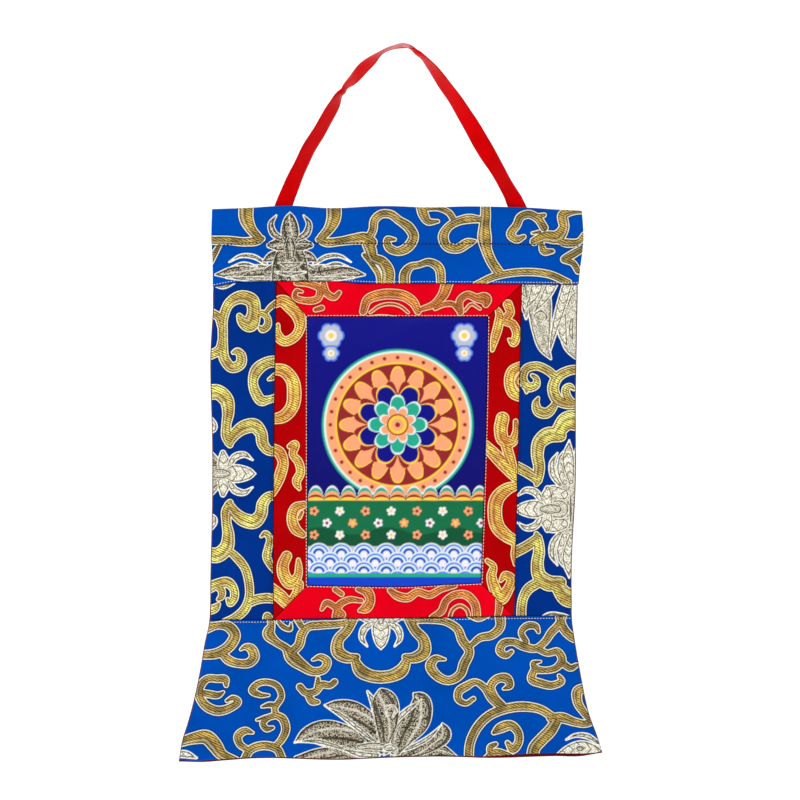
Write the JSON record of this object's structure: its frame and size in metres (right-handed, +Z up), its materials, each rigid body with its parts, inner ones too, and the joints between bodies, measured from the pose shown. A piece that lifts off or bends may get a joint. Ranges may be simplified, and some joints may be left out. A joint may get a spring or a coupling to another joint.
{
  "type": "thangka scroll painting",
  "caption": "Small hanging scroll: a picture in mitred red strips and blue brocade panels, with a flared skirt, a filled top casing and a ribbon loop.",
  "frame": {"origin": "the point under the top of the ribbon loop where a nail or hook carries the piece", "axes": "+Z up along the scroll's height, +X to the viewer's right, +Y back towards the wall; the picture faces -Y"},
  "size_m": [0.2344, 0.0187, 0.3996],
  "materials": {
    "band_brocade": "blue satin-ground brocade with dull gold scrolls and silver lotus",
    "panel_brocade": "deep blue satin-ground brocade with bright gold scrolls and silver lotus",
    "border_brocade": "bright red satin-ground brocade with orange-gold scrolls",
    "border_brocade_side": "darker red satin-ground brocade with gold scrolls",
    "printed_cloth": null,
    "lining_cloth": "plain maroon cotton lining",
    "satin_ribbon": "glossy red polyester satin ribbon"
  },
  "bodies": {
    "root": {"top_band": "band_brocade", "left_panel": "panel_brocade", "right_panel": "panel_brocade", "border_top": "border_brocade", "border_foot": "border_brocade", "border_left": "border_brocade_side", "border_right": "border_brocade_side", "picture": "printed_cloth", "skirt": "band_brocade", "lining": "lining_cloth", "ribbon": "satin_ribbon"}
  },
  "joints": []
}
